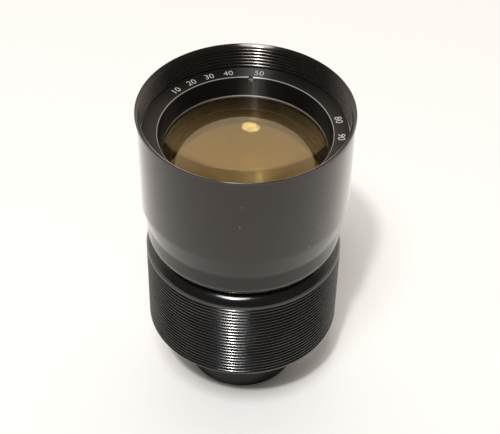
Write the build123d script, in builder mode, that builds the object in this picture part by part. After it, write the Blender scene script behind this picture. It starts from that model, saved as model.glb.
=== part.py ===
"""Projection lens that stands on its rear nose. Millimetres, +Z up, origin at the foot's centre."""
from build123d import *
from math import sqrt
import os

os.makedirs("parts", exist_ok=True)

# Front barrel, outside
barrel_radius = 28.33
barrel_height = 27.4
rim_bead = 0.17
rim_bead_height = 0.7
rim_edge = 0.15
taper_step = 1.73
taper_height = 7.1
neck_height = 8.0
neck_rounding = 1.9
barrel_gap = 0.5

# Hood
hood_wall = 1.13
hood_depth = 7.24
hood_bevel_depth = 0.95
hood_groove_pitch = 1.045
hood_groove_depth = 0.35

# Name ring
ring_face_width = 4.35
ring_flange = 2.0
ring_flange_reach = 2.2
ring_rest_gap = 0.1
throat_depth = 5.62
throat_step = 1.13
throat_edge = 0.25
throat_land = 0.3
notch_width = 1.2
notch_depth = 0.8
notch_height = 1.0
notch_angle = 87

# Front glasses, where a curve is positive when its centre lies below the surface
seat_width = 1.18
front_curve = 52.0
front_rim_thickness = 3.5
front_spacer_wall = 2.0
front_air_gap = 0.96
front_pair_step = 1.4
front_pair_curve = 60.0
front_cement_curve = -50.0
front_crown_edge = 1.15
front_flint_thickness = 3.0
bore_step_gap = 0.3

# Spigot, the part of the barrel inside the sleeve, and its blackened baffle tube
pair_shoulder = 1.6
tube_wall = 2.5
spigot_length = 10.8
collar_land = 1.6
baffle_wall = 1.2
baffle_head_gap = 0.3

# Focusing sleeve
sleeve_wall = 4.62
sleeve_height = 29.8
sleeve_floor = 3.0
sleeve_collar_step = 1.22
sleeve_rounding = 1.2
sleeve_slope_height = 1.8
sleeve_edge = 0.4
thread_pitch = 1.18
thread_depth = 0.55
thread_lead_in = 0.3
lock_ring_height = 3.0
lock_ring_width = 2.2

# Nose, the narrow tube at the film end, and its shank inside the sleeve
nose_radius = 15.62
nose_length = 19.0
nose_wall = 2.42
nose_edge = 0.4
shank_shoulder = 0.5
shank_wall = 1.12
shank_mouth = 5.28
stop_lip = 0.7
stop_thickness = 0.8

# Rear glasses
rib_base = 15.5
rib_lip = 0.9
rear_air_gap = 1.34
rear_pair_curve = 30.0
rear_cement_curve = -28.0
rear_crown_edge = 1.4
rear_flint_thickness = 2.0
pair_ring_height = 3.0
pair_ring_lip = 1.2
rear_curve = 25.0
rear_edge = 2.79
field_curve = 40.0
field_middle = 1.4
field_lip = 1.6
rear_ring_height = 1.7
rear_recess = 0.66
slot_width = 1.5
slot_depth = 1.0
slot_reach = 0.8

# Clearances
thread_clearance = 0.05
glass_clearance = 0.1
ring_clearance = 0.1
cement = 0.02
seat_gap = 0.02


def drop(curve, radius):
    """How far a spherical surface falls from its vertex at a radius; a flat one has no curve."""
    if curve is None:
        return 0
    side = 1 if curve > 0 else -1
    return curve - side * sqrt(curve**2 - radius**2)


def glass_section(radius, top, top_curve, bottom, bottom_curve):
    """Half section of a round glass from the heights of its vertices and its two curves."""
    top_edge = top - drop(top_curve, radius)
    bottom_edge = bottom - drop(bottom_curve, radius)
    top_middle = top - drop(top_curve, radius / 2)
    bottom_middle = bottom - drop(bottom_curve, radius / 2)
    with BuildSketch(Plane.XZ) as section:
        with BuildLine():
            if top_curve is None:
                Line((0, top), (radius, top_edge))
            else:
                ThreePointArc((0, top), (radius / 2, top_middle), (radius, top_edge))
            Line((radius, top_edge), (radius, bottom_edge))
            if bottom_curve is None:
                Line((radius, bottom_edge), (0, bottom))
            else:
                ThreePointArc((radius, bottom_edge), (radius / 2, bottom_middle), (0, bottom))
            Line((0, bottom), (0, top))
        make_face()
    return section.sketch


def turned_section(points):
    """Half section of a turned piece from its outline, each point a radius and a height."""
    with BuildSketch(Plane.XZ) as section:
        with BuildLine():
            Polyline(*points, close=True)
        make_face()
    return section.sketch


def turned_ring(bore, radius, bottom, top):
    """Half section of a plain ring."""
    return turned_section([(bore, bottom), (radius, bottom), (radius, top), (bore, top)])


# Radii of the front barrel and its glasses, from the outside in
rim_bead_radius = barrel_radius + rim_bead
neck_radius = barrel_radius - taper_step
hood_radius = barrel_radius - hood_wall
ring_skirt_radius = hood_radius - ring_flange_reach
skirt_bore = ring_skirt_radius + ring_clearance
throat_radius = hood_radius - ring_face_width
seat_radius = throat_radius - throat_step
front_glass_radius = seat_radius + seat_width
glass_bore = front_glass_radius + glass_clearance
front_spacer_bore = front_glass_radius - front_spacer_wall
front_pair_radius = front_glass_radius - front_pair_step
pair_bore = front_pair_radius + glass_clearance

# Radii of the spigot, the baffle tube in it and the sleeve round it
tube_bore = front_pair_radius - pair_shoulder
baffle_radius = tube_bore - ring_clearance
baffle_bore = baffle_radius - baffle_wall
spigot_radius = tube_bore + tube_wall
collar_land_radius = spigot_radius + collar_land
sleeve_bore = spigot_radius + thread_clearance
sleeve_radius = sleeve_bore + sleeve_wall
sleeve_collar_radius = sleeve_radius - sleeve_collar_step

# Radii of the nose and its glasses
shank_radius = nose_radius - shank_shoulder
nose_hole = shank_radius + thread_clearance
rear_bore = nose_radius - nose_wall
rear_glass_radius = rear_bore - glass_clearance
rib_bore = rear_glass_radius - rib_lip
field_bore = rear_glass_radius - field_lip
rear_pair_bore = shank_radius - shank_wall
rear_pair_radius = rear_pair_bore - glass_clearance
pair_ring_bore = rear_pair_radius - pair_ring_lip
stop_bore = rear_pair_radius - stop_lip

# Heights of the sleeve and the barrel, from the foot up
sleeve_bottom = nose_length
floor_top = sleeve_bottom + sleeve_floor
lock_ring_top = floor_top + lock_ring_height
sleeve_top = sleeve_bottom + sleeve_height
slope_top = sleeve_top - sleeve_rounding
slope_bottom = slope_top - sleeve_slope_height
thread_top = slope_bottom - thread_lead_in
spigot_bottom = sleeve_top - spigot_length
neck_bottom = sleeve_top + barrel_gap
taper_bottom = neck_bottom + neck_height
taper_top = taper_bottom + taper_height
rim_top = taper_top + barrel_height
ring_face = rim_top - hood_depth
ring_seat = ring_face - throat_depth

# Heights of the front glasses, from the name ring's seat down
front_vertex = ring_seat - seat_gap + drop(front_curve, seat_radius)
front_back = ring_seat - front_rim_thickness
crown_vertex = front_back - front_air_gap
spacer_bottom = crown_vertex + seat_gap - drop(front_pair_curve, front_spacer_bore)
front_crown_sag = drop(front_pair_curve, front_pair_radius) - drop(front_cement_curve, front_pair_radius)
crown_back = crown_vertex - front_crown_edge - front_crown_sag
flint_vertex = crown_back - cement
pair_seat = flint_vertex - front_flint_thickness

# Heights of the rear glasses, from the nose's rib and from the foot
rear_vertex = rib_base - seat_gap + drop(rear_curve, rib_bore)
rear_back = rear_vertex - drop(rear_curve, rear_glass_radius) - rear_edge
field_edge = rear_recess + rear_ring_height
field_back = field_edge + drop(field_curve, rear_glass_radius)
field_top = field_back + field_middle
rib_top = rear_vertex + rear_air_gap
rear_flint_vertex = rib_top + rear_flint_thickness
rear_crown_back = rear_flint_vertex + cement
rear_crown_sag = drop(rear_pair_curve, rear_pair_radius) - drop(rear_cement_curve, rear_pair_radius)
rear_crown_vertex = rear_crown_back + rear_crown_edge + rear_crown_sag
pair_ring_bottom = rear_crown_vertex + seat_gap - drop(rear_pair_curve, pair_ring_bore)
pair_ring_top = pair_ring_bottom + pair_ring_height
nose_top = pair_ring_top + shank_mouth


# Front barrel: hood, body, taper, neck and the tube that carries the sleeve
hood_grooves = int((hood_depth - hood_bevel_depth) / hood_groove_pitch)
hood_side = [(hood_radius, rim_top - hood_bevel_depth)]
for groove in range(hood_grooves):
    groove_top = rim_top - hood_bevel_depth - groove * hood_groove_pitch
    hood_side.append((hood_radius + hood_groove_depth, groove_top - hood_groove_pitch / 2))
    hood_side.append((hood_radius, groove_top - hood_groove_pitch))

with BuildPart() as front_barrel:
    with BuildSketch(Plane.XZ):
        with BuildLine():
            outside = Polyline(
                (tube_bore, spigot_bottom),
                (spigot_radius, spigot_bottom),
                (spigot_radius, sleeve_top),
                (collar_land_radius, sleeve_top),
                (collar_land_radius, neck_bottom),
                (neck_radius - neck_rounding, neck_bottom),
            )
            rounding = JernArc(outside @ 1, (1, 0), neck_rounding, 90)
            Polyline(
                rounding @ 1,
                (neck_radius, taper_bottom),
                (barrel_radius, taper_top),
                (barrel_radius, rim_top - rim_bead_height),
                (rim_bead_radius, rim_top - rim_bead_height),
                (rim_bead_radius, rim_top - rim_edge),
                (rim_bead_radius - rim_edge, rim_top),
                *hood_side,
                (hood_radius, ring_face - ring_flange - ring_rest_gap),
                (skirt_bore, ring_face - ring_flange - ring_rest_gap),
                (skirt_bore, ring_seat - bore_step_gap),
                (glass_bore, ring_seat - bore_step_gap),
                (glass_bore, spacer_bottom - bore_step_gap),
                (pair_bore, spacer_bottom - bore_step_gap),
                (pair_bore, pair_seat),
                (tube_bore, pair_seat),
                outside @ 0,
            )
        make_face()
    revolve(axis=Axis.Z)
front_barrel.part.label = "front_barrel"

# Name ring: bare face, conical throat and two spanner notches
with BuildPart() as name_ring:
    add(
        turned_section(
            [
                (seat_radius, ring_seat),
                (seat_radius, ring_seat + throat_land),
                (throat_radius, ring_face - throat_edge),
                (throat_radius + throat_edge, ring_face),
                (hood_radius - ring_clearance, ring_face),
                (hood_radius - ring_clearance, ring_face - ring_flange),
                (ring_skirt_radius, ring_face - ring_flange),
                (ring_skirt_radius, ring_seat),
            ]
        )
    )
    revolve(axis=Axis.Z)
    with Locations((0, 0, ring_face)):
        with PolarLocations(throat_radius, 2, start_angle=notch_angle):
            Box(2 * notch_depth, notch_width, 2 * notch_height, mode=Mode.SUBTRACT)
name_ring.part.label = "name_ring"

# Front glass
with BuildPart() as front_element:
    add(glass_section(front_glass_radius, front_vertex, front_curve, front_back, None))
    revolve(axis=Axis.Z)
front_element.part.label = "front_element"

# Spacer between the front glass and the cemented pair
with BuildPart() as front_spacer:
    add(turned_ring(front_spacer_bore, front_glass_radius, spacer_bottom, front_back))
    revolve(axis=Axis.Z)
front_spacer.part.label = "front_spacer"

# Front cemented pair
with BuildPart() as front_crown:
    add(glass_section(front_pair_radius, crown_vertex, front_pair_curve, crown_back, front_cement_curve))
    revolve(axis=Axis.Z)
front_crown.part.label = "front_crown"

with BuildPart() as front_flint:
    add(glass_section(front_pair_radius, flint_vertex, front_cement_curve, pair_seat, None))
    revolve(axis=Axis.Z)
front_flint.part.label = "front_flint"

# Focusing sleeve: thread ridges, shoulder and floor
thread_turns = int((thread_top - sleeve_bottom - sleeve_edge) / thread_pitch)
thread_side = []
for turn in range(thread_turns):
    crest = thread_top - turn * thread_pitch
    thread_side.append((sleeve_radius, crest))
    thread_side.append((sleeve_radius - thread_depth, crest - thread_pitch / 2))
thread_side.append((sleeve_radius, thread_top - thread_turns * thread_pitch))

with BuildPart() as focus_sleeve:
    with BuildSketch(Plane.XZ):
        with BuildLine():
            rounding = ThreePointArc(
                (sleeve_collar_radius - sleeve_rounding, sleeve_top),
                (
                    sleeve_collar_radius - sleeve_rounding * (1 - sqrt(0.5)),
                    sleeve_top - sleeve_rounding * (1 - sqrt(0.5)),
                ),
                (sleeve_collar_radius, slope_top),
            )
            Polyline(
                rounding @ 1,
                (sleeve_radius, slope_bottom),
                *thread_side,
                (sleeve_radius, sleeve_bottom + sleeve_edge),
                (sleeve_radius - sleeve_edge, sleeve_bottom),
                (nose_hole, sleeve_bottom),
                (nose_hole, floor_top),
                (sleeve_bore, floor_top),
                (sleeve_bore, sleeve_top),
                rounding @ 0,
            )
        make_face()
    revolve(axis=Axis.Z)
focus_sleeve.part.label = "focus_sleeve"

# Nose with its rib between the rear pair and the rear glass, and the shank that the sleeve's floor holds
with BuildPart() as rear_barrel:
    add(
        turned_section(
            [
                (rear_bore, 0),
                (nose_radius - nose_edge, 0),
                (nose_radius, nose_edge),
                (nose_radius, sleeve_bottom),
                (shank_radius, sleeve_bottom),
                (shank_radius, nose_top),
                (rear_pair_bore, nose_top),
                (rear_pair_bore, rib_top),
                (rib_bore, rib_top),
                (rib_bore, rib_base),
                (rear_bore, rib_base),
            ]
        )
    )
    revolve(axis=Axis.Z)
rear_barrel.part.label = "rear_barrel"

# Nut that locks the shank in the sleeve's floor
with BuildPart() as nose_lock_ring:
    add(turned_ring(nose_hole, nose_hole + lock_ring_width, floor_top, lock_ring_top))
    revolve(axis=Axis.Z)
nose_lock_ring.part.label = "nose_lock_ring"

# Blackened tube between the groups
with BuildPart() as baffle_tube:
    add(turned_ring(baffle_bore, baffle_radius, spigot_bottom, pair_seat - baffle_head_gap))
    revolve(axis=Axis.Z)
baffle_tube.part.label = "baffle_tube"

# Stop, a disc that lies on the shank's end
with BuildPart() as stop_disc:
    add(turned_ring(stop_bore, shank_radius, nose_top, nose_top + stop_thickness))
    revolve(axis=Axis.Z)
stop_disc.part.label = "stop_disc"

# Rear cemented pair and its retaining ring
with BuildPart() as rear_crown:
    add(
        glass_section(
            rear_pair_radius, rear_crown_vertex, rear_pair_curve, rear_crown_back, rear_cement_curve
        )
    )
    revolve(axis=Axis.Z)
rear_crown.part.label = "rear_crown"

with BuildPart() as rear_flint:
    add(glass_section(rear_pair_radius, rear_flint_vertex, rear_cement_curve, rib_top, None))
    revolve(axis=Axis.Z)
rear_flint.part.label = "rear_flint"

with BuildPart() as pair_ring:
    add(turned_ring(pair_ring_bore, rear_pair_bore - thread_clearance, pair_ring_bottom, pair_ring_top))
    revolve(axis=Axis.Z)
    with Locations((0, 0, pair_ring_top)):
        with PolarLocations(pair_ring_bore, 2):
            Box(2 * slot_reach, slot_width, 2 * slot_depth, mode=Mode.SUBTRACT)
pair_ring.part.label = "pair_ring"

# Rear glass, spacer, field flattener and their retaining ring
with BuildPart() as rear_element:
    add(glass_section(rear_glass_radius, rear_vertex, rear_curve, rear_back, None))
    revolve(axis=Axis.Z)
rear_element.part.label = "rear_element"

with BuildPart() as field_spacer:
    add(turned_ring(field_bore, rear_glass_radius, field_top, rear_back))
    revolve(axis=Axis.Z)
field_spacer.part.label = "field_spacer"

with BuildPart() as field_element:
    add(glass_section(rear_glass_radius, field_top, None, field_back, field_curve))
    revolve(axis=Axis.Z)
field_element.part.label = "field_element"

with BuildPart() as rear_ring:
    add(turned_ring(field_bore, rear_bore - thread_clearance, rear_recess, field_edge))
    revolve(axis=Axis.Z)
    with Locations((0, 0, rear_recess)):
        with PolarLocations(field_bore, 2):
            Box(2 * slot_reach, slot_width, 2 * slot_depth, mode=Mode.SUBTRACT)
rear_ring.part.label = "rear_ring"

pieces = (
    front_barrel,
    name_ring,
    front_element,
    front_spacer,
    front_crown,
    front_flint,
    focus_sleeve,
    rear_barrel,
    nose_lock_ring,
    baffle_tube,
    stop_disc,
    rear_crown,
    rear_flint,
    pair_ring,
    rear_element,
    field_spacer,
    field_element,
    rear_ring,
)
for piece in pieces:
    export_step(piece.part, f"parts/{piece.part.label}.step")
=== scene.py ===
"""Looks of a projection lens that stands on its rear nose. Metres, +Z up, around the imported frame."""
import math

import bmesh
import bpy
from mathutils import Matrix, Vector


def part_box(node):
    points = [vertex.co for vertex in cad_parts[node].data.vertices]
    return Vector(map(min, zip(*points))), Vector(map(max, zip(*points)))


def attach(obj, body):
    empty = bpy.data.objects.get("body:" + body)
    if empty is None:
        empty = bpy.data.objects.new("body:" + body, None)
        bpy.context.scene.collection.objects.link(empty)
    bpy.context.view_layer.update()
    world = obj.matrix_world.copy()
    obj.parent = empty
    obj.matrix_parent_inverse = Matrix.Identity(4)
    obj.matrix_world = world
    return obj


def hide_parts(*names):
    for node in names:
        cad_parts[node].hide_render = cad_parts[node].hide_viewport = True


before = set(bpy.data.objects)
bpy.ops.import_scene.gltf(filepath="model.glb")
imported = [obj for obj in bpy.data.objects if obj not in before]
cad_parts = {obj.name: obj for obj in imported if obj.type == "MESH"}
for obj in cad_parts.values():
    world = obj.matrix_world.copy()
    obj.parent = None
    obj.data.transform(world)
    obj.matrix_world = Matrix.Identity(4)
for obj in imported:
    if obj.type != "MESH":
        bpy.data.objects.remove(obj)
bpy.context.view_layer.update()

MM = 0.001

# Heights in millimetres above the foot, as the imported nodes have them

RIM_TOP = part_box("front_barrel")[1].z / MM
SLEEVE_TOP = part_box("focus_sleeve")[1].z / MM
SLEEVE_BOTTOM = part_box("focus_sleeve")[0].z / MM
RING_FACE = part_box("name_ring")[1].z / MM
RING_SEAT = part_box("name_ring")[0].z / MM

# Outside of the front barrel, in millimetres

BARREL_RADIUS = 28.33
TAPER_TOP = 64.4
TAPER_BOTTOM = 57.3
NECK_RADIUS = 26.6
NECK_TUCK = 2.4
NECK_TUCK_HEIGHT = 3.7
NECK_BOTTOM = 49.3
SPIGOT_RADIUS = 24.0

# Steps in and rises at the soft edges of the taper

TAPER_TOP_SOFT = ((0.0, 0.9), (0.03, 0.25), (0.13, -0.45))
TAPER_BOTTOM_SOFT = ((-0.12, 0.45), (-0.02, -0.25), (0.0, -0.9))

# Rim: steps in from its radius, and depths below its top

RIM_ROUNDING = 0.2
RIM_CREST = 0.15
BEAD_DEPTH = 0.62
BEAD_EDGE_STEP = 0.05
BEAD_EDGE_DEPTH = 0.70
BEAD_END_DEPTH = 0.74
BEVEL_TOP_STEP = 0.21
BEVEL_TOP_DEPTH = 0.03

# Foot of the rim's bevel: steps out from the hood's bore, and depths below the rim

BEVEL_FOOT = ((0.1, 0.98), (0.15, 0.90))

# Inside of the front barrel, in millimetres

SLEEVE_BORE = 22.45
SLEEVE_CLEARANCE = 0.05
TUBE_RADIUS = SLEEVE_BORE - SLEEVE_CLEARANCE
TUBE_BORE = 19.9
PAIR_SEAT = 61.47
PAIR_BORE = 21.6
PAIR_TOP = 70.44
GLASS_BORE = 23.0
GLASS_BORE_TOP = RING_SEAT - 0.3
RING_BORE = 25.1
RING_BORE_TOP = RING_FACE - 2.1
HOOD_RADIUS = 27.2
HOOD_SEAT = RING_FACE + 0.02

# Ridges inside the hood

HOOD_RIDGES = 6
RIDGE_PITCH = 1.045
RIDGE_DEPTH = 0.35
RIDGE_CREST = 0.20
RIDGE_FLANK = 56.0

# Focusing sleeve and its thread, in millimetres and degrees, and the distance in metres that welds points

SLEEVE_RADIUS = 27.07
SLEEVE_FLOOR = 22.0
SHOULDER_WIDTH = 3.97
SHOULDER_HEIGHT = 3.0
SLEEVE_FOOT_CHAMFER = 0.4
SLEEVE_FOOT_EDGE = (0.04, 0.3)
NOSE_HOLE = 15.17
THREAD_PITCH = 1.18
THREAD_DEPTH = 0.68
THREAD_TOP = 45.5
THREAD_TURNS = 22
THREAD_CREST = 0.20
THREAD_FLANK = 40.0
THREAD_START = 250.0
THREAD_FADE = 0.45 * THREAD_PITCH
WELD_DISTANCE = 1e-6

# Curves of the cemented pairs, in millimetres, positive when the centre lies below

FRONT_PAIR_CURVE = 60.0
REAR_PAIR_CURVE = 30.0
CEMENT_CURVE = -50.0
CEMENT_THICKNESS = 0.04
CEMENT_MARGIN = 0.1

# Where the hood's own black ends: radii beyond its wall, and heights below its foot

HOOD_WALL_RADII = (27.75, 27.95)
HOOD_FOOT_HEIGHTS = (HOOD_SEAT - 1.0, HOOD_SEAT - 0.8)

# Name ring: radii where the throat begins and where its bare edge lies, and heights of its bare seat

THROAT_EDGE = (23.0, 23.12)
EDGE_LINE_IN = (22.90, 22.95)
EDGE_LINE_OUT = (23.04, 23.09)
SEAT_LINE = (RING_SEAT + 0.30, RING_SEAT + 0.36)

# Plain numbers on the name ring: text and azimuth in degrees

RING_NUMBERS = (
    ("10", 139), ("20", 126.5), ("30", 114), ("40", 101.5), ("50", 82), ("80", 12), ("90", -4)
)
NUMBER_HEIGHT = 1.9
NUMBER_RADIUS = 24.0
NUMBER_RELIEF = 0.012
NUMBER_THINNING = -0.035
FONT_CAPITAL_SHARE = 0.69

# Colours, as pairs that a noise mixes

BARREL_BLACK = ((0.006, 0.0045, 0.0035, 1), (0.010, 0.008, 0.0065, 1))
RIM_BLACK = ((0.004, 0.003, 0.0025, 1), (0.009, 0.007, 0.0055, 1))
NOSE_BLACK = ((0.003, 0.003, 0.003, 1), (0.006, 0.0055, 0.005, 1))
PAINT_BLACK = ((0.010, 0.009, 0.008, 1), (0.016, 0.014, 0.012, 1))
PAINT_WHITE = ((0.62, 0.60, 0.56, 1), (0.80, 0.78, 0.74, 1))
FLOOR_WHITE = ((0.895, 0.89, 0.88, 1), (0.91, 0.905, 0.895, 1))

# Single colours, and a roughness that is mixed like a colour

HOOD_BLACK = (0.005, 0.004, 0.0035, 1)
DUST_GREY = (0.45, 0.42, 0.38, 1)
WARM_GLOSS = (1.0, 0.92, 0.87, 1)
WARM_SHEEN = (1.0, 0.95, 0.90, 1)
RING_BLACK = (0.008, 0.0065, 0.0055, 1)
THROAT_BLACK = (0.004, 0.004, 0.004, 1)
BARE_METAL = (0.50, 0.47, 0.42, 1)
BARE_ROUGHNESS = (0.45, 0.45, 0.45, 1)
SLEEVE_BLACK = (0.003, 0.003, 0.0035, 1)
# Grey of the painted highlight on the thread's crests
SLEEVE_CREST_HIGHLIGHT = (0.20, 0.19, 0.17, 1)
SKY_COLOUR = (1.0, 0.915, 0.82, 1)

# Tint and reflection of each coated glass

FRONT_GLASS = ((0.90, 0.76, 0.48, 1), (1.0, 0.78, 0.50, 1))
INNER_GLASS = ((0.90, 0.76, 0.50, 1), (1.0, 0.72, 0.40, 1))
REAR_GLASS = ((0.80, 0.62, 0.36, 1), (1.0, 0.70, 0.38, 1))
CEMENT = ((0.80, 0.88, 1.0, 1), (0.8, 0.85, 1.0, 1))

# Camera fitted to the photo's outline, in millimetres and pixels

FOCAL_PIXELS = 1323.205
PICTURE_WIDTH = 500
SENSOR_WIDTH = 36.0
DISTANCE = 364.1455
TILT = math.radians(43.4447)
ROLL = math.radians(0.99610)
YAW = math.radians(0.26119)
TARGET = RIM_TOP - 37.9422

# Sky: how it falls off overhead, between which levels it fades, and its two strengths

SKY_LEAN = -0.4
SKY_FADE = (-0.3, 0.5)
SKY_STRENGTH = (0.15, 1.22)
FLOOR_REACH = 3.0


# Node helpers

class Look:
    """A procedural material: one Principled shader and the nodes that feed it."""

    def __init__(self, name):
        self.material = bpy.data.materials.new(name)
        self.material.use_nodes = True
        self.tree = self.material.node_tree
        self.shader = self.tree.nodes["Principled BSDF"]
        self.point = self.add("ShaderNodeTexCoord").outputs["Object"]

    def put(self, value, socket):
        """Link a socket to another one, or set it to a constant."""
        if isinstance(value, bpy.types.NodeSocket):
            self.tree.links.new(value, socket)
        else:
            socket.default_value = value

    def add(self, kind, inputs=None, **settings):
        node = self.tree.nodes.new(kind)
        for key, value in settings.items():
            setattr(node, key, value)
        for key, value in (inputs or {}).items():
            self.put(value, node.inputs[key])
        return node

    def shade(self, **values):
        """Set the shader's inputs; an underscore stands for a space in their names."""
        for key, value in values.items():
            self.put(value, self.shader.inputs[key.replace("_", " ")])

    def maths(self, operation, a, b=0.0):
        return self.add("ShaderNodeMath", {0: a, 1: b}, operation=operation).outputs[0]

    def remap(self, value, low, high, start=0.0, end=1.0):
        inputs = {0: value, 1: low, 2: high, 3: start, 4: end}
        return self.add("ShaderNodeMapRange", inputs, interpolation_type="SMOOTHSTEP").outputs[0]

    def mix(self, share, first, second):
        node = self.add("ShaderNodeMix", data_type="RGBA")
        for key, value in ((0, share), (6, first), (7, second)):
            self.put(value, node.inputs[key])
        return node.outputs[2]

    def split(self):
        """Radius from the axis and height, both in millimetres."""
        x, y, z = self.add("ShaderNodeSeparateXYZ", {0: self.point}).outputs
        square = self.maths("ADD", self.maths("MULTIPLY", x, x), self.maths("MULTIPLY", y, y))
        radius = self.maths("MULTIPLY", self.maths("SQRT", square), 1 / MM)
        height = self.maths("MULTIPLY", z, 1 / MM)
        return radius, height

    def noise(self, scale, detail=2.0, vector=None):
        inputs = {"Scale": scale, "Detail": detail, "Vector": vector or self.point}
        return self.add("ShaderNodeTexNoise", inputs).outputs[0]

    def dust(self, scale, size, spread):
        """Sparse specks, 1 where a speck lies."""
        cells = self.add("ShaderNodeTexVoronoi", {"Scale": scale, "Vector": self.point})
        near = self.maths("LESS_THAN", cells.outputs["Distance"], size)
        patch = self.noise(scale * 0.23, 1.0)
        return self.maths("MULTIPLY", near, self.maths("GREATER_THAN", patch, spread))

    def turned_lines(self, radius, height, scale):
        """Fine lines that a cutting tool leaves round the axis."""
        vector = self.add("ShaderNodeCombineXYZ", {0: radius, 1: 0.0, 2: height}).outputs[0]
        return self.noise(scale, 3.0, vector)

    def turned_gloss(self, anisotropy):
        """Gloss of a turned surface, drawn out across the lines that run round the axis."""
        tangent = self.add("ShaderNodeTangent", direction_type="RADIAL", axis="Z").outputs[0]
        self.shade(Tangent=tangent, Anisotropic=anisotropy, Anisotropic_Rotation=0.25)

    def bump(self, height, strength, distance):
        inputs = {"Height": height, "Strength": strength, "Distance": distance}
        self.shade(Normal=self.add("ShaderNodeBump", inputs).outputs[0])


# Materials

def satin_barrel(name, ior, sheen):
    """Satin black of the barrel, with one even black on the hood's wall."""
    look = Look(name)
    radius, height = look.split()
    lines = look.turned_lines(radius, height, 5.0)
    beyond_hood = look.remap(radius, *HOOD_WALL_RADII)
    below_hood = look.remap(height, *HOOD_FOOT_HEIGHTS, start=1.0, end=0.0)
    outside = look.maths("MAXIMUM", beyond_hood, below_hood)
    colour = look.mix(outside, HOOD_BLACK, look.mix(look.noise(60.0, 3.0), *BARREL_BLACK))
    specks = look.maths("MULTIPLY", look.dust(scale=260.0, size=0.07, spread=0.52), 0.25)
    look.shade(Base_Color=look.mix(specks, colour, DUST_GREY), Roughness=0.15)
    look.shade(Specular_Tint=WARM_GLOSS, IOR=ior)
    look.shade(Sheen_Weight=sheen, Sheen_Roughness=0.28, Sheen_Tint=WARM_SHEEN)
    look.turned_gloss(0.4)
    look.bump(lines, strength=0.10, distance=0.02 * MM)
    return look.material


def satin_rim():
    """Satin black of the rim; the material has kept the hood's name."""
    look = Look("satin_black_hood")
    radius, height = look.split()
    cloud = look.noise(90.0, 3.0)
    look.shade(Base_Color=look.mix(cloud, *RIM_BLACK), IOR=1.65)
    look.shade(Roughness=look.remap(cloud, 0.3, 0.7, start=0.22, end=0.27))
    look.turned_gloss(0.7)
    look.bump(look.turned_lines(radius, height, 5.0), strength=0.08, distance=0.01 * MM)
    return look.material


def satin_ring():
    look = Look("satin_black_ring")
    radius, height = look.split()
    lines = look.turned_lines(radius, height, 6.0)
    throat = look.remap(radius, *THROAT_EDGE, start=1.0, end=0.0)
    edge_in = look.remap(radius, *EDGE_LINE_IN)
    edge_out = look.remap(radius, *EDGE_LINE_OUT, start=1.0, end=0.0)
    edge = look.maths("MULTIPLY", edge_in, edge_out)
    seat = look.remap(height, *SEAT_LINE, start=1.0, end=0.0)
    bare = look.maths("MAXIMUM", edge, look.maths("MULTIPLY", seat, throat))
    look.shade(Base_Color=look.mix(bare, look.mix(throat, RING_BLACK, THROAT_BLACK), BARE_METAL))
    roughness = look.remap(throat, 0, 1, start=0.42, end=0.28)
    look.shade(Roughness=look.mix(bare, roughness, BARE_ROUGHNESS))
    look.shade(Metallic=look.maths("MULTIPLY", bare, 0.35))
    look.turned_gloss(1.0)
    look.bump(lines, strength=0.12, distance=0.02 * MM)
    return look.material


def gloss_sleeve():
    """Glossy black, with a painted highlight: paler patches on the thread's crests."""
    look = Look("gloss_black_sleeve")
    radius, height = look.split()
    lines = look.turned_lines(radius, height, 4.0)
    # Painted highlight: paler grey in patches along the thread's crests
    crest = look.remap(radius, SLEEVE_RADIUS - 0.08, SLEEVE_RADIUS - 0.01)
    crest_highlight = look.maths("MULTIPLY", crest, look.remap(look.noise(90.0, 4.0), 0.45, 0.7))
    look.shade(Base_Color=look.mix(look.maths("MULTIPLY", crest_highlight, 0.25), SLEEVE_BLACK, SLEEVE_CREST_HIGHLIGHT))
    look.shade(Roughness=look.remap(look.noise(140.0), 0.3, 0.7, start=0.12, end=0.15), IOR=1.6)
    look.bump(lines, strength=0.02, distance=0.01 * MM)
    return look.material


def satin_nose():
    look = Look("satin_black_nose")
    radius, height = look.split()
    look.shade(Base_Color=look.mix(look.noise(80.0), *NOSE_BLACK), Roughness=0.26, IOR=1.4)
    look.turned_gloss(0.6)
    look.bump(look.turned_lines(radius, height, 5.0), strength=0.10, distance=0.02 * MM)
    return look.material


def matt_black():
    look = Look("matt_black_paint")
    look.shade(Base_Color=look.mix(look.noise(300.0), *PAINT_BLACK), Roughness=0.6)
    look.bump(look.noise(2500.0), strength=0.15, distance=0.02 * MM)
    return look.material


def coated_glass(name, colours, ior, half_mirror, haze=0.0):
    """Tinted glass that mirrors a little more than its refraction alone would."""
    tint, reflection = colours
    smeared = tuple(0.97 * value for value in tint[:3]) + (1,)
    look = Look(name)
    smear = look.noise(70.0)
    look.shade(Base_Color=look.mix(look.remap(smear, 0.3, 0.7), tint, smeared))
    look.shade(Roughness=look.remap(smear, 0.35, 0.75, start=haze, end=haze + 0.012))
    look.shade(Transmission_Weight=1.0, IOR=ior, Specular_Tint=reflection, Metallic=half_mirror)
    return look.material


def white_paint():
    look = Look("white_paint")
    look.shade(Base_Color=look.mix(look.noise(900.0), *PAINT_WHITE), Roughness=0.5)
    return look.material


def pale_floor():
    look = Look("pale_floor")
    look.shade(Base_Color=look.mix(look.noise(6.0), *FLOOR_WHITE), Roughness=0.7)
    return look.material


# Outlines, as points of radius and height in millimetres

def arc(centre, radius, start, end, count):
    """Points of an arc in the half section, angles in degrees from the outward direction."""
    points = []
    for step in range(count + 1):
        angle = math.radians(start + (end - start) * step / count)
        points.append((centre[0] + radius * math.cos(angle), centre[1] + radius * math.sin(angle)))
    return points


def rounding(depth, run):
    """Radius and turn in degrees of an arc that leaves a side and falls away from it over a run."""
    radius = (depth ** 2 + run ** 2) / (2 * depth)
    return radius, math.degrees(math.asin(run / radius))


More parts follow.
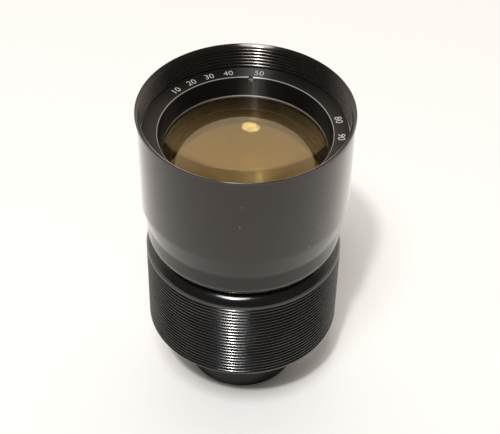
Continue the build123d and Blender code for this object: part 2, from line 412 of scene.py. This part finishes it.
def ridge_form(crest, turn, pitch, depth, bends, count=4):
    """One pitch from groove to groove: a round crest that turns by an angle, then curved flanks."""
    edge = crest * math.sin(math.radians(turn)) / pitch
    sag = crest * (1 - math.cos(math.radians(turn))) / depth
    start = math.tan(math.radians(turn)) * pitch / depth
    length = 0.5 - edge
    bend = (1 - sag - start * length) / length ** 2
    flank = []
    for step in range(1, bends + 1):
        along = length * step / (bends + 1)
        flank.append((edge + along, sag + start * along + bend * along ** 2))
    form = [(-0.5, 1.0)] + [(-share, depth_share) for share, depth_share in reversed(flank)]
    for step in range(count + 1):
        angle = math.radians(-turn + 2 * turn * step / count)
        form.append((crest * math.sin(angle) / pitch, crest * (1 - math.cos(angle)) / depth))
    return form + flank


def barrel_outline():
    """Half section of the front barrel with rounded hood ridges and softened edges."""
    low, high = (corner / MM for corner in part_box("front_barrel"))
    rim_centre = (high.x - RIM_ROUNDING, high.z - RIM_ROUNDING)
    rows = [(high.x - RIM_CREST, high.z)] + arc(rim_centre, RIM_ROUNDING, start=80, end=0, count=5)
    rows += [(high.x, high.z - BEAD_DEPTH), (high.x - BEAD_EDGE_STEP, high.z - BEAD_EDGE_DEPTH)]
    rows += [(BARREL_RADIUS, high.z - BEAD_END_DEPTH)]
    rows += [(BARREL_RADIUS - step, TAPER_TOP + rise) for step, rise in TAPER_TOP_SOFT]
    rows += [(NECK_RADIUS - step, TAPER_BOTTOM + rise) for step, rise in TAPER_BOTTOM_SOFT]
    tuck, tuck_turn = rounding(NECK_TUCK, NECK_TUCK_HEIGHT)
    tuck_centre = (NECK_RADIUS - tuck, NECK_BOTTOM + NECK_TUCK_HEIGHT)
    rows += arc(tuck_centre, tuck, start=0, end=-tuck_turn, count=16)
    rows += [(SPIGOT_RADIUS, NECK_BOTTOM), (SPIGOT_RADIUS, SLEEVE_TOP), (TUBE_RADIUS, SLEEVE_TOP)]
    rows += [(TUBE_RADIUS, low.z), (TUBE_BORE, low.z), (TUBE_BORE, PAIR_SEAT)]
    rows += [(PAIR_BORE, PAIR_SEAT), (PAIR_BORE, PAIR_TOP), (GLASS_BORE, PAIR_TOP)]
    rows += [(GLASS_BORE, GLASS_BORE_TOP), (RING_BORE, GLASS_BORE_TOP), (RING_BORE, RING_BORE_TOP)]
    rows += [(HOOD_RADIUS, RING_BORE_TOP), (HOOD_RADIUS, HOOD_SEAT)]
    form = ridge_form(RIDGE_CREST, RIDGE_FLANK, RIDGE_PITCH, RIDGE_DEPTH, bends=3)
    for turn in range(HOOD_RIDGES):
        middle = HOOD_SEAT + RIDGE_PITCH * (turn + 0.5)
        for share, depth in reversed(form):
            rows.append((HOOD_RADIUS + RIDGE_DEPTH * depth, middle - share * RIDGE_PITCH))
    rows += [(HOOD_RADIUS + RIDGE_DEPTH, HOOD_SEAT + HOOD_RIDGES * RIDGE_PITCH)]
    rows += [(HOOD_RADIUS + step, high.z - depth) for step, depth in BEVEL_FOOT]
    rows += [(high.x - BEVEL_TOP_STEP, high.z - BEVEL_TOP_DEPTH)]
    return rows


def fall(curve, radius):
    """How far a spherical surface falls from its vertex at a radius."""
    side = 1 if curve > 0 else -1
    return curve - side * math.sqrt(curve * curve - radius * radius)


def glass_rows(radius, top, curve, bottom, count=20):
    """Outline of a round glass with a curved top and a flat bottom, from the axis to the axis."""
    steps = [radius * step / count for step in range(count + 1)]
    return [(r, top - fall(curve, r)) for r in steps] + [(r, bottom) for r in reversed(steps)]


def cement_rows(radius, vertex, count=20):
    """Outline of the thin cemented layer between the two glasses of the front pair."""
    steps = [radius * step / count for step in range(count + 1)]
    upper = [(r, vertex + CEMENT_THICKNESS / 2 - fall(CEMENT_CURVE, r)) for r in steps]
    return upper + [(r, z - CEMENT_THICKNESS) for r, z in reversed(upper)]


# Meshes

def ring_point(radius, height, angle):
    return Vector((radius * MM * math.cos(angle), radius * MM * math.sin(angle), height * MM))


def mark_sharp(mesh, limit):
    """Mark the edges that turn by more than a limit in degrees."""
    for edge in mesh.edges:
        if len(edge.link_faces) == 2 and edge.calc_face_angle(0) > math.radians(limit):
            edge.smooth = False


def finish_mesh(name, mesh, material, smooth=True):
    for face in mesh.faces:
        face.smooth = smooth
    data = bpy.data.meshes.new(name)
    mesh.to_mesh(data)
    mesh.free()
    data.materials.append(material)
    piece = bpy.data.objects.new(name, data)
    bpy.context.scene.collection.objects.link(piece)
    return piece


def lathe(name, rows, material, segments=160, sharp=40):
    """A turned piece from a closed outline; a radius of 0 is the axis."""
    mesh = bmesh.new()
    rings = []
    for radius, height in rows:
        turns = segments if radius > 0 else 1
        angles = [2 * math.pi * step / segments for step in range(turns)]
        rings.append([mesh.verts.new(ring_point(radius, height, angle)) for angle in angles])
    for upper, lower in zip(rings, rings[1:] + rings[:1]):
        if len(upper) == 1 and len(lower) == 1:
            continue
        for step in range(segments):
            after = (step + 1) % segments
            corners = [upper[step % len(upper)], lower[step % len(lower)]]
            corners += [lower[after % len(lower)], upper[after % len(upper)]]
            mesh.faces.new(list(dict.fromkeys(corners)))
    bmesh.ops.recalc_face_normals(mesh, faces=mesh.faces)
    mark_sharp(mesh, sharp)
    return finish_mesh(name, mesh, material)


def thread_sleeve(material, segments=240, sharp=38):
    """The focusing sleeve with its ridges as one helix."""
    shoulder, shoulder_turn = rounding(SHOULDER_HEIGHT, SHOULDER_WIDTH)
    centre = (SLEEVE_RADIUS - SHOULDER_WIDTH, SLEEVE_TOP - shoulder)
    before = [(SLEEVE_BORE, SLEEVE_TOP)]
    before += arc(centre, shoulder, start=90, end=90 - shoulder_turn, count=20)
    edge_step, edge_rise = SLEEVE_FOOT_EDGE
    after = [(SLEEVE_RADIUS, SLEEVE_BOTTOM + SLEEVE_FOOT_CHAMFER)]
    after += [(SLEEVE_RADIUS - edge_step, SLEEVE_BOTTOM + edge_rise)]
    after += [(SLEEVE_RADIUS - SLEEVE_FOOT_CHAMFER, SLEEVE_BOTTOM)]
    after += [(NOSE_HOLE, SLEEVE_BOTTOM), (NOSE_HOLE, SLEEVE_FLOOR), (SLEEVE_BORE, SLEEVE_FLOOR)]
    form = ridge_form(THREAD_CREST, THREAD_FLANK, THREAD_PITCH, THREAD_DEPTH, bends=2)
    forms = [(turn + share, depth) for turn in range(THREAD_TURNS + 2) for share, depth in form]
    thread_bottom = THREAD_TOP - THREAD_TURNS * THREAD_PITCH
    mesh = bmesh.new()
    columns = []
    for step in range(segments):
        turn = step / segments
        angle = 2 * math.pi * turn + math.radians(THREAD_START)
        rows = list(before)
        for share, depth in forms:
            height = THREAD_TOP - (share - turn) * THREAD_PITCH
            height = min(max(height, thread_bottom), THREAD_TOP)
            fade = min(height - thread_bottom, THREAD_TOP - height) / THREAD_FADE
            fade = min(max(fade, 0.0), 1.0)
            rows.append((SLEEVE_RADIUS - THREAD_DEPTH * depth * fade, height))
        rows += after
        columns.append([mesh.verts.new(ring_point(radius, height, angle)) for radius, height in rows])
    count = len(columns[0])
    first = len(before)
    last = first + len(forms) - 1

    def at(column, row):
        """Vertex at a column and a row; past the last column the helix has moved on by one pitch."""
        if column < segments:
            return columns[column][row]
        if first <= row <= last:
            row = max(row - len(form), first)
        return columns[0][row]

    for column in range(segments):
        for row in range(count):
            below = (row + 1) % count
            corners = [at(column, row), at(column, below), at(column + 1, below), at(column + 1, row)]
            corners = list(dict.fromkeys(corners))
            if len(corners) > 2 and mesh.faces.get(corners) is None:
                mesh.faces.new(corners)
    bmesh.ops.remove_doubles(mesh, verts=mesh.verts, dist=WELD_DISTANCE)
    bmesh.ops.dissolve_degenerate(mesh, edges=mesh.edges, dist=WELD_DISTANCE)
    bmesh.ops.recalc_face_normals(mesh, faces=mesh.faces)
    mark_sharp(mesh, sharp)
    return finish_mesh("thread_sleeve", mesh, material)


def turned_to(axes, place):
    """Matrix that has three axes as its columns and stands at a place."""
    matrix = Matrix.Identity(4)
    for column, axis in enumerate(axes):
        for row in range(3):
            matrix[row][column] = axis[row]
    matrix.translation = place
    return matrix


def ring_number(text, azimuth, material):
    """White number on the name ring; it reads clockwise with its top outwards."""
    curve = bpy.data.curves.new("digits_" + text, "FONT")
    curve.body = text
    curve.align_x = "CENTER"
    curve.size = NUMBER_HEIGHT * MM / FONT_CAPITAL_SHARE
    curve.extrude = NUMBER_RELIEF * MM
    curve.offset = NUMBER_THINNING * MM
    holder = bpy.data.objects.new("digits_" + text, curve)
    bpy.context.scene.collection.objects.link(holder)
    bpy.context.view_layer.update()
    data = bpy.data.meshes.new_from_object(holder)
    bpy.data.objects.remove(holder)
    angle = math.radians(azimuth)
    out = Vector((math.cos(angle), math.sin(angle), 0))
    along = Vector((math.sin(angle), -math.cos(angle), 0))
    place = out * NUMBER_RADIUS * MM + Vector((0, 0, RING_FACE * MM))
    data.transform(turned_to((along, out, Vector((0, 0, 1))), place))
    data.materials.clear()
    data.materials.append(material)
    name = f"ring_number_{text}_{azimuth:g}".replace(".", "_").replace("-", "m")
    piece = bpy.data.objects.new(name, data)
    bpy.context.scene.collection.objects.link(piece)
    return piece


# Camera, lamps, sky and floor

def place_camera():
    """The photo's camera: in front of the lens and above it, a little turned and rolled."""
    forward = Vector((0, math.cos(TILT), -math.sin(TILT)))
    right = Vector((1, 0, 0))
    up = right.cross(forward)
    forward_turned = forward * math.cos(YAW) + right * math.sin(YAW)
    right_turned = right * math.cos(YAW) - forward * math.sin(YAW)
    right_rolled = right_turned * math.cos(ROLL) + up * math.sin(ROLL)
    up_rolled = up * math.cos(ROLL) - right_turned * math.sin(ROLL)
    lens = bpy.data.cameras.new("camera")
    lens.sensor_width = SENSOR_WIDTH
    lens.lens = FOCAL_PIXELS / PICTURE_WIDTH * SENSOR_WIDTH
    lens.clip_start = 10 * MM
    camera = bpy.data.objects.new("camera", lens)
    bpy.context.scene.collection.objects.link(camera)
    place = Vector((0, -DISTANCE * math.cos(TILT), TARGET + DISTANCE * math.sin(TILT))) * MM
    camera.matrix_world = turned_to((right_rolled, up_rolled, -forward_turned), place)
    bpy.context.scene.camera = camera


def round_lamp(name, azimuth, elevation, distance, size, energy, colour):
    """A round area lamp that shines on the lens from a direction in degrees."""
    lamp = bpy.data.lights.new(name, "AREA")
    lamp.shape = "DISK"
    lamp.size = size
    lamp.energy = energy
    lamp.color = colour
    holder = bpy.data.objects.new(name, lamp)
    bpy.context.scene.collection.objects.link(holder)
    turn = math.radians(azimuth)
    rise = math.radians(elevation)
    direction = Vector((math.cos(turn) * math.cos(rise), math.sin(turn) * math.cos(rise), math.sin(rise)))
    lens_middle = Vector((0, 0, 50 * MM))
    holder.location = direction * distance + lens_middle
    holder.rotation_mode = "QUATERNION"
    holder.rotation_quaternion = direction.to_track_quat("Z", "Y")


def studio_sky():
    """Room light that is bright behind the lens and dim overhead and on the camera's side."""
    world = bpy.data.worlds.new("studio")
    bpy.context.scene.world = world
    world.use_nodes = True
    tree = world.node_tree
    backdrop = tree.nodes["Background"]
    backdrop.inputs["Color"].default_value = SKY_COLOUR
    direction = tree.nodes.new("ShaderNodeTexCoord").outputs["Generated"]
    split = tree.nodes.new("ShaderNodeSeparateXYZ")
    lean = tree.nodes.new("ShaderNodeMath")
    lean.operation = "MULTIPLY_ADD"
    lean.inputs[1].default_value = SKY_LEAN
    level = tree.nodes.new("ShaderNodeMapRange")
    level.interpolation_type = "SMOOTHSTEP"
    for socket, value in enumerate(SKY_FADE + SKY_STRENGTH, start=1):
        level.inputs[socket].default_value = value
    tree.links.new(direction, split.inputs[0])
    tree.links.new(split.outputs[2], lean.inputs[0])
    tree.links.new(split.outputs[1], lean.inputs[2])
    tree.links.new(lean.outputs[0], level.inputs[0])
    tree.links.new(level.outputs[0], backdrop.inputs["Strength"])


def floor_plane():
    mesh = bmesh.new()
    bmesh.ops.create_grid(mesh, x_segments=1, y_segments=1, size=FLOOR_REACH)
    return finish_mesh("floor", mesh, pale_floor(), smooth=False)


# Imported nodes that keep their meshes

front_glass = coated_glass("coated_glass_front", FRONT_GLASS, ior=1.60, half_mirror=0.03)
inner_glass = coated_glass("coated_glass_inner", INNER_GLASS, ior=1.60, half_mirror=0.06)
rear_glass = coated_glass("coated_glass_rear", REAR_GLASS, ior=1.50, half_mirror=0.0)
matt_look = matt_black()

for name, material in (
    ("name_ring", satin_ring()),
    ("rear_barrel", satin_nose()),
    ("front_spacer", matt_look),
    ("nose_lock_ring", matt_look),
    ("baffle_tube", matt_look),
    ("stop_disc", matt_look),
    ("pair_ring", matt_look),
    ("field_spacer", matt_look),
    ("rear_ring", matt_look),
    ("front_element", front_glass),
    ("rear_element", rear_glass),
    ("field_element", rear_glass),
):
    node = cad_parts[name]
    node.data.materials.clear()
    node.data.materials.append(material)


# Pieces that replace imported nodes

barrel_look = satin_barrel("satin_black_barrel", ior=1.52, sheen=1.0)
barrel = lathe("barrel_skin", barrel_outline(), barrel_look, segments=224, sharp=30)
barrel.data.materials.append(satin_rim())
# Third look: the barrel's satin reflecting less, a painted shade for the taper and the neck
barrel.data.materials.append(satin_barrel("satin_black_neck_painted_shade", ior=1.43, sheen=0.30))

# This mesh's normals point into its metal, so a normal toward the axis marks the outside. There the rim
# wears the second look. The taper and all below it wear the third, a copy of the first that reflects
# less:
# painted shade that darkens them. The rest wears the first.
for face in barrel.data.polygons:
    on_outside = face.normal.x * face.center.x + face.normal.y * face.center.y < 0
    if on_outside and face.center.z > RING_SEAT * MM:
        face.material_index = 1
    elif face.center.z < TAPER_TOP * MM:
        face.material_index = 2

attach(barrel, "root")
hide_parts("front_barrel")

sleeve = thread_sleeve(gloss_sleeve())
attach(sleeve, "root")
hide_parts("focus_sleeve")

crown_low, crown_high = (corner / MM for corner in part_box("front_crown"))
flint_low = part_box("front_flint")[0] / MM
pair_rows = glass_rows(crown_high.x, crown_high.z, FRONT_PAIR_CURVE, flint_low.z)
front_pair = lathe("front_pair", pair_rows, inner_glass)
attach(front_pair, "root")
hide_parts("front_crown", "front_flint")

cement_look = coated_glass("coated_cement", CEMENT, ior=1.0, half_mirror=0.07, haze=0.05)
layer_rows = cement_rows(crown_high.x - CEMENT_MARGIN, crown_low.z)
cement = lathe("front_cement", layer_rows, cement_look, sharp=60)
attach(cement, "root")

crown_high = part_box("rear_crown")[1] / MM
flint_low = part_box("rear_flint")[0] / MM
pair_rows = glass_rows(crown_high.x, crown_high.z, REAR_PAIR_CURVE, flint_low.z)
rear_pair = lathe("rear_pair", pair_rows, rear_glass)
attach(rear_pair, "root")
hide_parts("rear_crown", "rear_flint")

paint_look = white_paint()
for text, azimuth in RING_NUMBERS:
    number = ring_number(text, azimuth, paint_look)
    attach(number, "root")


# Studio

place_camera()
round_lamp(
    "key", azimuth=255, elevation=66, distance=1.8, size=0.66, energy=17.5, colour=(0.975, 0.985, 1.0)
)
round_lamp(
    "bulb", azimuth=254, elevation=60, distance=1.78, size=0.10, energy=12.0, colour=(1.0, 0.97, 0.93)
)
studio_sky()
floor = floor_plane()
bpy.context.scene.view_settings.view_transform = "Standard"
